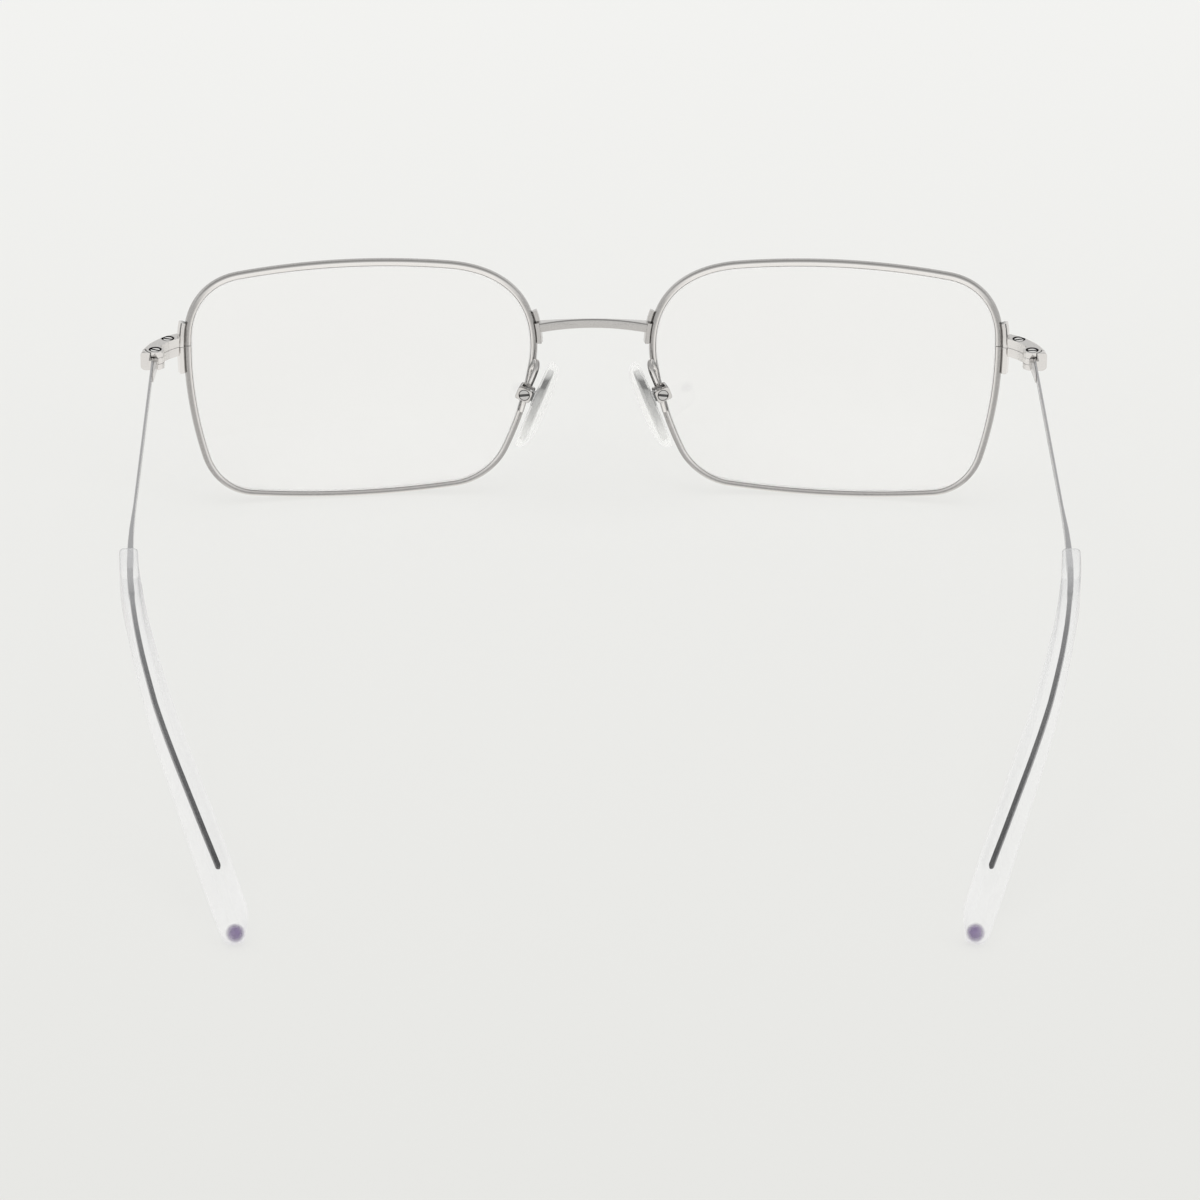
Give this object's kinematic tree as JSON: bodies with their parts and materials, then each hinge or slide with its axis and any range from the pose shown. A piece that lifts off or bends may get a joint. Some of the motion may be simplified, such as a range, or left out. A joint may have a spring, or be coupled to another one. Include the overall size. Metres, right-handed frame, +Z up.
{
  "type": "eyeglasses",
  "caption": "Rectangular full-rim metal eyeglasses with clear curved lenses, adjustable nose pads and folding temples with clear tips.",
  "frame": {"origin": "under the middle of the open frame, on the surface that the rims and the temple tips rest on", "axes": "+X towards the wearer's left, +Y back along the open temples, +Z up"},
  "size_m": [0.1364, 0.1547, 0.0369],
  "materials": {
    "frame": "polished silver-coloured metal",
    "screw": "polished, slotted heads",
    "lens": "clear, untinted, polished",
    "tip": "clear, glossy",
    "pad": "clear silicone, slightly milky",
    "insert": "translucent grey"
  },
  "bodies": {
    "front": {"rim_left": "frame", "rim_right": "frame", "lens_left": "lens", "lens_right": "lens", "bridge": "frame", "end_piece_upper_left": "frame", "end_piece_upper_right": "frame", "end_piece_lower_left": "frame", "end_piece_lower_right": "frame", "rim_lock_screw_left": "screw", "rim_lock_screw_right": "screw", "hinge_screw_left": "screw", "hinge_screw_right": "screw", "pad_arm_left": "frame", "pad_arm_right": "frame", "pad_box_left": "frame", "pad_box_right": "frame", "pad_screw_left": "screw", "pad_screw_right": "screw"},
    "temple_left": {"temple_left": "frame", "hinge_leaf_left": "frame", "temple_tip_left": "tip"},
    "temple_right": {"temple_right": "frame", "hinge_leaf_right": "frame", "temple_tip_right": "tip"},
    "pad_left": {"pad_insert_left": "insert", "nose_pad_left": "pad"},
    "pad_right": {"pad_insert_right": "insert", "nose_pad_right": "pad"}
  },
  "joints": [
    {"name": "temple_hinge_left", "type": "hinge", "parent": "front", "child": "temple_left", "pos_m": [0.066, -0.06522, 0.02527], "axis": [0, 0, 1], "range_deg": [0, 84]},
    {"name": "temple_hinge_right", "type": "hinge", "parent": "front", "child": "temple_right", "pos_m": [-0.066, -0.06522, 0.02527], "axis": [0, 0, -1], "range_deg": [0, 75]},
    {"name": "pad_pivot_left", "type": "hinge", "parent": "front", "child": "pad_left", "pos_m": [0.01027, -0.06757, 0.01862], "axis": [0.1941, 0.9781, 0.0745], "range_deg": [-8, 8]},
    {"name": "pad_pivot_right", "type": "hinge", "parent": "front", "child": "pad_right", "pos_m": [-0.01027, -0.06757, 0.01862], "axis": [-0.1941, 0.9781, 0.0745], "range_deg": [-8, 8]}
  ]
}
